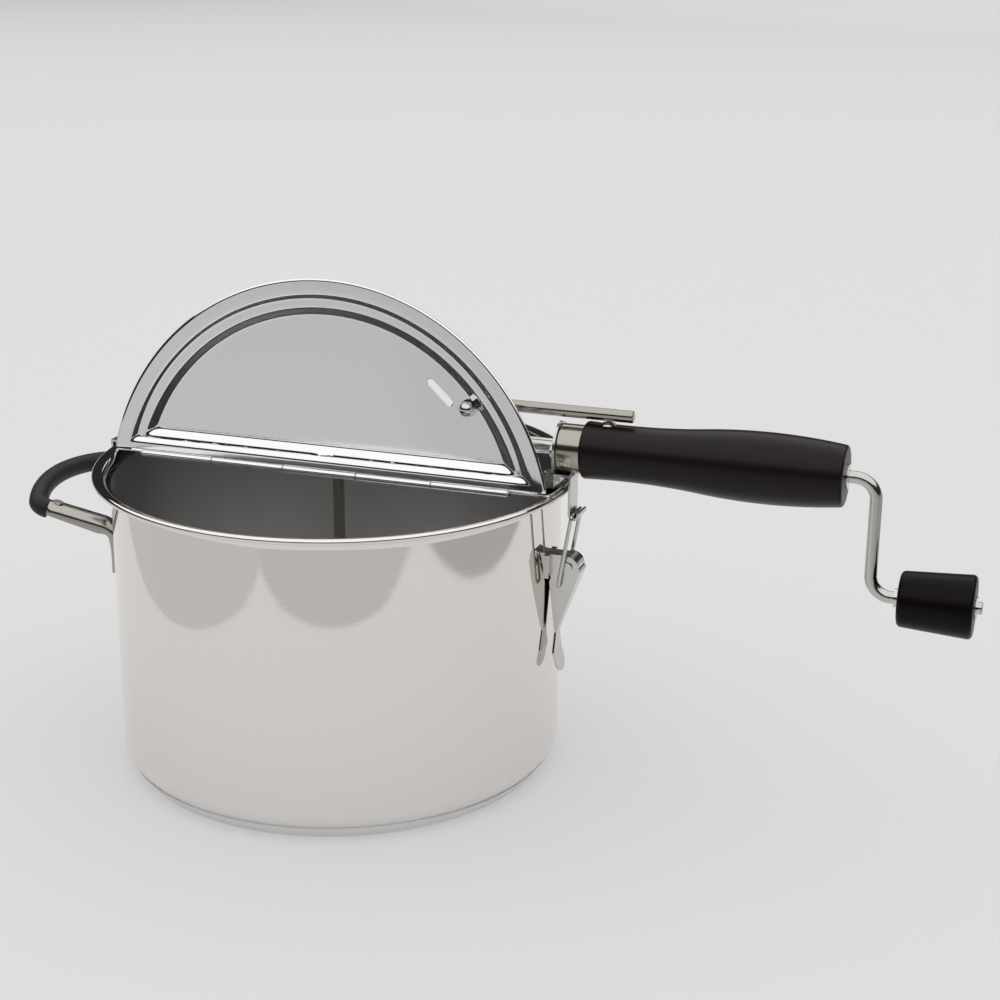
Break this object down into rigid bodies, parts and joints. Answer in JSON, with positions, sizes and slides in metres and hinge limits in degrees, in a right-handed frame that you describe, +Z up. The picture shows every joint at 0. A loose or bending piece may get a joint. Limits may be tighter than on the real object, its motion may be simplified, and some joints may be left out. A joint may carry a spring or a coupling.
{
  "type": "stovetop popcorn popper",
  "caption": "Stovetop popcorn popper: steel pot with a hinged flap in its lid, a stirrer turned by a crank through bevel gears, a wooden handle, a side grip and a wire latch.",
  "frame": {"origin": "centre of the base's underside, on the stove", "axes": "+Z up along the stirrer's axis, +X along the wooden handle and the crank, the flap opens on the -Y side"},
  "size_m": [0.4942, 0.248, 0.2546],
  "materials": {
    "pot_steel": "polished stainless sheet",
    "disc_steel": "satin heat spreading disc",
    "bracket_steel": "satin stainless sheet",
    "rivet_steel": "peened heads",
    "screw_steel": "bright plated",
    "rod_steel": "bright drawn rod",
    "gear_steel": "sintered steel",
    "bush_brass": "machined",
    "grip_black": "matt black sleeve",
    "turned_wood": "dark stained and lacquered"
  },
  "bodies": {
    "popper": {"pot_body": "pot_steel", "rear_lid": "pot_steel", "base_disc": "disc_steel", "side_bracket_front": "bracket_steel", "side_bracket_rear": "bracket_steel", "latch_base": "bracket_steel", "lid_hook": "bracket_steel", "handle_bracket": "bracket_steel", "catch_strap": "bracket_steel", "gear_frame": "bracket_steel", "gear_cover": "bracket_steel", "crank_tube": "bracket_steel", "handle_ferrule": "bracket_steel", "side_bracket_rivets": "rivet_steel", "side_grip_rivets": "rivet_steel", "latch_base_rivets": "rivet_steel", "latch_pivot_pin": "rivet_steel", "lid_hook_rivets": "rivet_steel", "bracket_foot_rivets": "rivet_steel", "gear_frame_rivets": "rivet_steel", "hinge_pin": "rivet_steel", "stop_button": "screw_steel", "bracket_screws": "screw_steel", "gear_cover_screws": "screw_steel", "handle_end_bush": "screw_steel", "side_handle_rod": "rod_steel", "stirrer_bush": "bush_brass", "side_grip": "grip_black", "wood_handle": "turned_wood"},
    "flap": {"front_flap": "pot_steel", "flap_lever": "rod_steel", "lever_domed_nut": "screw_steel", "lever_lock_nut": "screw_steel"},
    "crank": {"crank_rod": "rod_steel", "drive_gear": "gear_steel", "crank_collar": "screw_steel", "knob_collar": "screw_steel", "knob_push_nut": "screw_steel"},
    "knob": {"crank_knob": "turned_wood"},
    "stirrer": {"stirrer_shaft": "rod_steel", "driven_gear": "gear_steel", "stirring_wire": "rod_steel"},
    "lever": {"latch_lever": "bracket_steel"},
    "bail": {"latch_bail": "rod_steel"}
  },
  "joints": [
    {"name": "flap_hinge", "type": "hinge", "parent": "popper", "child": "flap", "pos_m": [0, -0.0228, 0.1575], "axis": [1, 0, 0], "range_deg": [0, 94.2]},
    {"name": "crank_spin", "type": "hinge", "parent": "popper", "child": "crank", "pos_m": [0, 0, 0.177], "axis": [1, 0, 0], "continuous": true},
    {"name": "stirrer_spin", "type": "hinge", "parent": "popper", "child": "stirrer", "pos_m": [0, 0, 0.1], "axis": [0, 0, 1], "continuous": true},
    {"name": "knob_spin", "type": "hinge", "parent": "crank", "child": "knob", "pos_m": [0.3, 0, 0.12], "axis": [1, 0, 0], "continuous": true},
    {"name": "latch_lever_swing", "type": "hinge", "parent": "popper", "child": "lever", "pos_m": [0.1253, 0, 0.1168], "axis": [0, -1, 0], "range_deg": [0, 85]},
    {"name": "latch_bail_swing", "type": "hinge", "parent": "lever", "child": "bail", "pos_m": [0.1214, 0, 0.107], "axis": [0, -1, 0], "range_deg": [-65, 0]}
  ],
  "couplings": [
    {"joint": "stirrer_spin", "follows": "crank_spin", "ratio": 1},
    {"joint": "latch_bail_swing", "follows": "latch_lever_swing", "ratio": -0.762}
  ]
}
